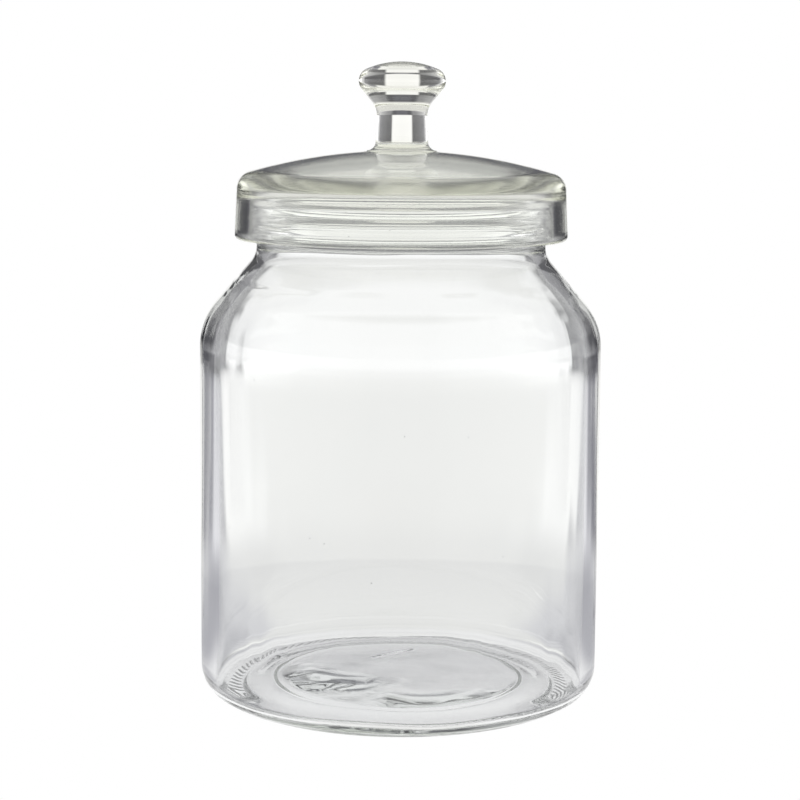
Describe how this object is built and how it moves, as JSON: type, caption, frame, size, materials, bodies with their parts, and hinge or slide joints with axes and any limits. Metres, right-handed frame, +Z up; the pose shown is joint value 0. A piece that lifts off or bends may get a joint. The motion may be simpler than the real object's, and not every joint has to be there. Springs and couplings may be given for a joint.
{
  "type": "apothecary jar",
  "caption": "Clear glass storage jar with a rounded shoulder, wide neck and lift-off glass lid that has a skirt, low dome and round knob.",
  "frame": {"origin": "middle of the base, on the surface the jar stands on", "axes": "+Z up the jar's axis towards the knob; X and Y are alike, as every piece is round about Z"},
  "size_m": [0.16, 0.16, 0.2539],
  "materials": {
    "jar_glass": "clear, faint blue-grey tint, fire-polished",
    "lid_glass": "clear, faint green tint, pressed and fire-polished",
    "knob_glass": "clear, polished",
    "seal": "clear soft silicone, slightly cloudy"
  },
  "bodies": {
    "jar": {"jar": "jar_glass"},
    "seal": {"seal_ring": "seal"},
    "lid": {"lid": "lid_glass", "lid_knob": "knob_glass"}
  },
  "joints": [
    {"name": "lid_lift", "type": "slide", "parent": "jar", "child": "seal", "axis": [0, 0, 1], "range_m": [0, 0.1]},
    {"name": "lid_turn", "type": "hinge", "parent": "seal", "child": "lid", "pos_m": [0, 0, 0.2], "axis": [0, 0, 1], "continuous": true}
  ]
}
